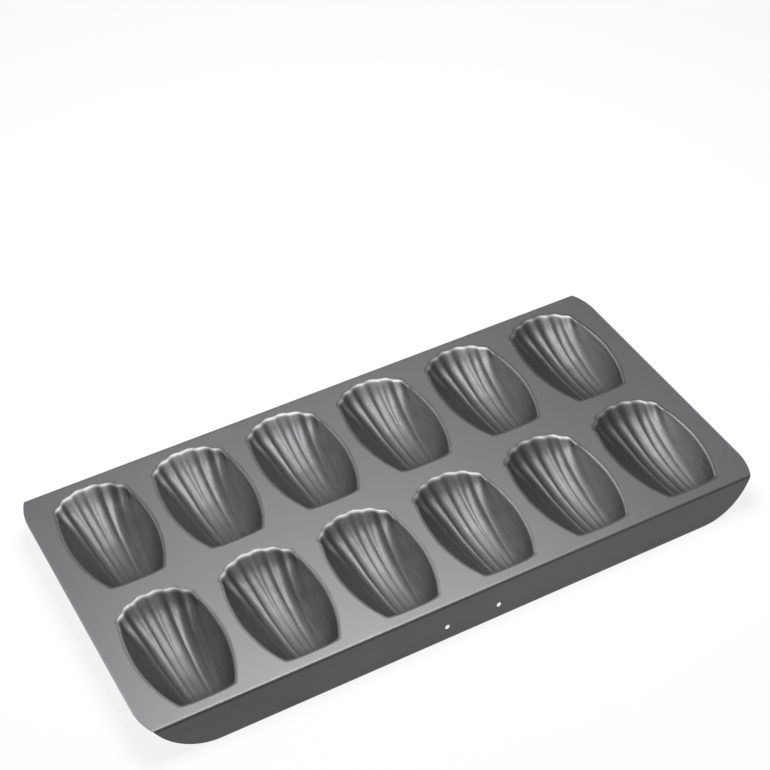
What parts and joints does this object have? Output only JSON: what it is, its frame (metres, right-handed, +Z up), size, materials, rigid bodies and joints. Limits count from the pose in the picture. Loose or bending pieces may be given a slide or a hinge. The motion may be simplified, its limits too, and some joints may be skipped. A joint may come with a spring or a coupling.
{
  "type": "madeleine pan",
  "caption": "Rectangular baking sheet with two rows of fluted shell-shaped cups and bent-down flanges along its long edges, in dark non-stick coating.",
  "frame": {"origin": "centre of the footprint, on the plane that the flanges stand on", "axes": "+X along the pan's length, +Y from the pierced front flange to the plain rear flange, +Z up out of the cups"},
  "size_m": [0.395, 0.2076, 0.021],
  "materials": {
    "coating": "semi-gloss dark grey non-stick coating on steel sheet"
  },
  "bodies": {
    "root": {"deck_plate": "coating", "cup_front_1": "coating", "cup_front_2": "coating", "cup_front_3": "coating", "cup_front_4": "coating", "cup_front_5": "coating", "cup_front_6": "coating", "cup_back_1": "coating", "cup_back_2": "coating", "cup_back_3": "coating", "cup_back_4": "coating", "cup_back_5": "coating", "cup_back_6": "coating", "front_flange": "coating", "rear_flange": "coating"}
  },
  "joints": []
}
